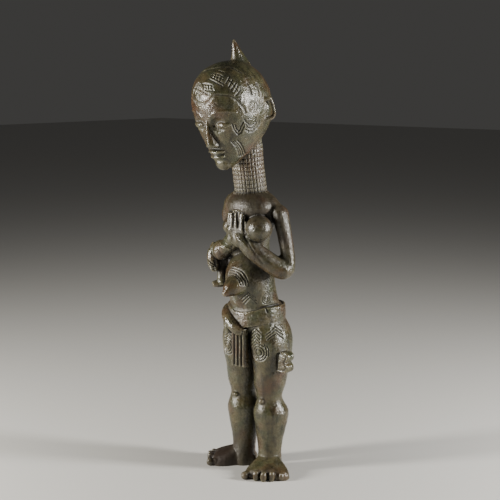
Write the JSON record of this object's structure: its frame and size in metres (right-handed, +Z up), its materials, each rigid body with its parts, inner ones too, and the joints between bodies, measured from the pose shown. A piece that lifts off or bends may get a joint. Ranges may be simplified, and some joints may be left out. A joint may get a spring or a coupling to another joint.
{
  "type": "fertility figure",
  "caption": "Dark carved wooden fertility figure: a standing mother with a long ringed neck and a tall crest, who holds an infant at her side and wears a hip wrap.",
  "frame": {"origin": "middle of the figure's box, on the plane of its soles", "axes": "+Z up along the figure, -Y the way it faces, +X towards its own left hand"},
  "size_m": [0.1048, 0.098, 0.4],
  "materials": {
    "dark_wood": "dark olive-brown hardwood with an oiled hand patina, worn glossy on knuckles, knees and calves, and dusty in the hollows"
  },
  "bodies": {
    "root": {"fertility_figure": "dark_wood"}
  },
  "joints": []
}
